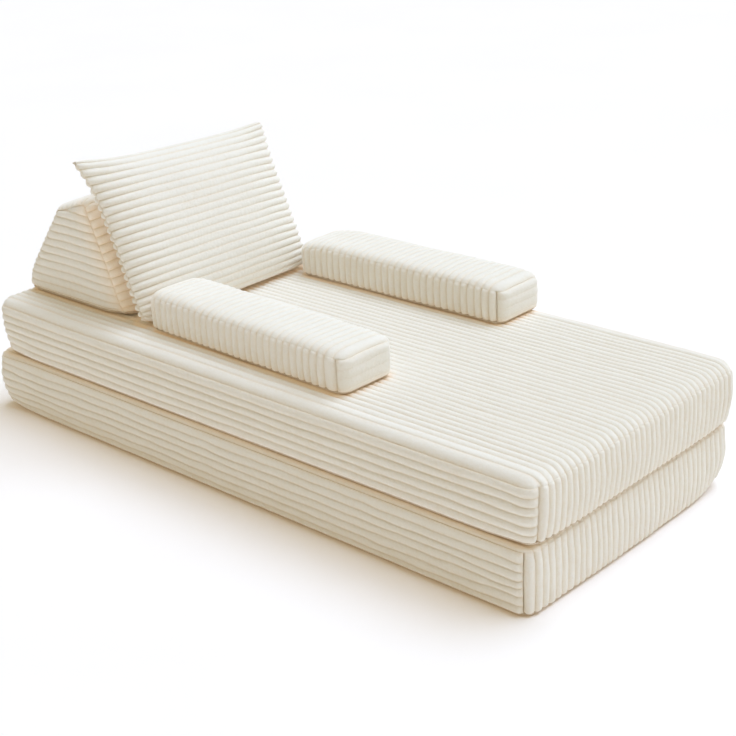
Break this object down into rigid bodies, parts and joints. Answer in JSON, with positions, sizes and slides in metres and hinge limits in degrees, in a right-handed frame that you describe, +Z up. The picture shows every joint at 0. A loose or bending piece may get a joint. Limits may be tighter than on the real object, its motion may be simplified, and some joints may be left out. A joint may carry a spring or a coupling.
{
  "type": "modular sofa bed",
  "caption": "Floor sofa bed of stacked ribbed-plush foam slabs that fold out side by side, with loose arm bolsters, a wedge back block and a leaning back cushion.",
  "frame": {"origin": "middle of the object's footprint, on the floor", "axes": "+Y runs from the foot end to the back rest, +X points to the far long side where the slabs are hinged, +Z is up"},
  "size_m": [0.817, 1.917, 0.7613],
  "materials": {
    "plush": "matte",
    "underside_cloth": "matte",
    "foam": "matte",
    "fibre_fill": "matte",
    "hinge_cloth": "matte",
    "zip_tape": "matte",
    "zip_metal": "satin"
  },
  "bodies": {
    "lower_slab": {"lower_foam_core": "foam", "lower_top_panel": "plush", "lower_base_panel": "underside_cloth", "lower_near_panel": "plush", "lower_far_panel": "plush", "lower_foot_panel": "plush", "lower_head_panel": "plush", "lower_zip_chain": "zip_tape", "lower_hinge_strip": "hinge_cloth"},
    "upper_slab": {"upper_foam_core": "foam", "upper_top_panel": "plush", "upper_base_panel": "underside_cloth", "upper_near_panel": "plush", "upper_far_panel": "plush", "upper_foot_panel": "plush", "upper_head_panel": "plush", "upper_zip_chain": "zip_tape", "upper_hinge_strip": "hinge_cloth"},
    "right_arm": {"right_arm_foam_core": "foam", "right_arm_top_panel": "plush", "right_arm_base_panel": "underside_cloth", "right_arm_outer_panel": "plush", "right_arm_inner_panel": "plush", "right_arm_foot_end_panel": "plush", "right_arm_head_end_panel": "plush", "right_arm_zip_chain": "zip_tape"},
    "left_arm": {"left_arm_foam_core": "foam", "left_arm_top_panel": "plush", "left_arm_base_panel": "underside_cloth", "left_arm_outer_panel": "plush", "left_arm_inner_panel": "plush", "left_arm_foot_end_panel": "plush", "left_arm_head_end_panel": "plush", "left_arm_zip_chain": "zip_tape"},
    "wedge": {"wedge_foam_core": "foam", "wedge_wrap_panel": "plush", "wedge_right_end_panel": "plush", "wedge_left_end_panel": "plush", "wedge_base_panel": "underside_cloth", "wedge_zip_chain": "zip_tape"},
    "back_cushion": {"pillow_insert": "fibre_fill", "pillow_front_panel": "plush", "pillow_back_panel": "plush", "pillow_zip_chain": "zip_tape"},
    "lower_slab_zip_slider": {"lower_zip_slider": "zip_metal"},
    "lower_slab_zip_pull": {"lower_zip_pull": "zip_metal"},
    "upper_slab_zip_slider": {"upper_zip_slider": "zip_metal"},
    "upper_slab_zip_pull": {"upper_zip_pull": "zip_metal"},
    "right_arm_zip_slider": {"right_arm_zip_slider": "zip_metal"},
    "right_arm_zip_pull": {"right_arm_zip_pull": "zip_metal"},
    "left_arm_zip_slider": {"left_arm_zip_slider": "zip_metal"},
    "left_arm_zip_pull": {"left_arm_zip_pull": "zip_metal"},
    "wedge_zip_slider": {"wedge_zip_slider": "zip_metal"},
    "wedge_zip_pull": {"wedge_zip_pull": "zip_metal"},
    "back_cushion_zip_slider": {"pillow_zip_slider": "zip_metal", "pillow_zip_pull": "zip_metal"}
  },
  "joints": [
    {"name": "fold_out", "type": "hinge", "parent": "lower_slab", "child": "upper_slab", "pos_m": [0.409, 0, 0.1695], "axis": [0, 1, 0], "range_deg": [0, 180]},
    {"name": "right_arm_off", "type": "slide", "parent": "upper_slab", "child": "right_arm", "axis": [0, 0, 1], "range_m": [0, 0.15]},
    {"name": "left_arm_off", "type": "slide", "parent": "upper_slab", "child": "left_arm", "axis": [0, 0, 1], "range_m": [0, 0.15]},
    {"name": "back_cushion_off", "type": "slide", "parent": "upper_slab", "child": "back_cushion", "axis": [0, 0, 1], "range_m": [0, 0.25]},
    {"name": "wedge_off", "type": "slide", "parent": "upper_slab", "child": "wedge", "axis": [0, 1, 0], "range_m": [0, 0.2]},
    {"name": "lower_zip_run", "type": "slide", "parent": "lower_slab", "child": "lower_slab_zip_slider", "axis": [-1, 0, 0], "range_m": [0, 0.598]},
    {"name": "lower_pull_swing", "type": "hinge", "parent": "lower_slab_zip_slider", "child": "lower_slab_zip_pull", "pos_m": [0.306, 0.9568, 0.079], "axis": [0, 0, -1], "range_deg": [0, 150]},
    {"name": "upper_zip_run", "type": "slide", "parent": "upper_slab", "child": "upper_slab_zip_slider", "axis": [-1, 0, 0], "range_m": [0, 0.598]},
    {"name": "upper_pull_swing", "type": "hinge", "parent": "upper_slab_zip_slider", "child": "upper_slab_zip_pull", "pos_m": [0.306, 0.9398, 0.249], "axis": [0, 0, -1], "range_deg": [0, 150]},
    {"name": "right_arm_zip_run", "type": "slide", "parent": "right_arm", "child": "right_arm_zip_slider", "axis": [0.0279, 0.9996, 0], "range_m": [0, 0.418]},
    {"name": "right_arm_pull_swing", "type": "hinge", "parent": "right_arm_zip_slider", "child": "right_arm_zip_pull", "pos_m": [-0.15529, -0.21285, 0.3915], "axis": [0, 0, -1], "range_deg": [0, 150]},
    {"name": "left_arm_zip_run", "type": "slide", "parent": "left_arm", "child": "left_arm_zip_slider", "axis": [-0.0087, 1, 0], "range_m": [0, 0.418]},
    {"name": "left_arm_pull_swing", "type": "hinge", "parent": "left_arm_zip_slider", "child": "left_arm_zip_pull", "pos_m": [0.40569, -0.22623, 0.3915], "axis": [0, 0, -1], "range_deg": [0, 150]},
    {"name": "wedge_zip_run", "type": "slide", "parent": "wedge", "child": "wedge_zip_slider", "axis": [1, 0, 0], "range_m": [0, 0.418]},
    {"name": "wedge_pull_swing", "type": "hinge", "parent": "wedge_zip_slider", "child": "wedge_zip_pull", "pos_m": [-0.217, 0.87012, 0.44126], "axis": [0, -0.6193, 0.7851], "range_deg": [0, 150]},
    {"name": "pillow_zip_run", "type": "slide", "parent": "back_cushion", "child": "back_cushion_zip_slider", "axis": [1, 0, 0], "range_m": [0, 0.378]}
  ]
}
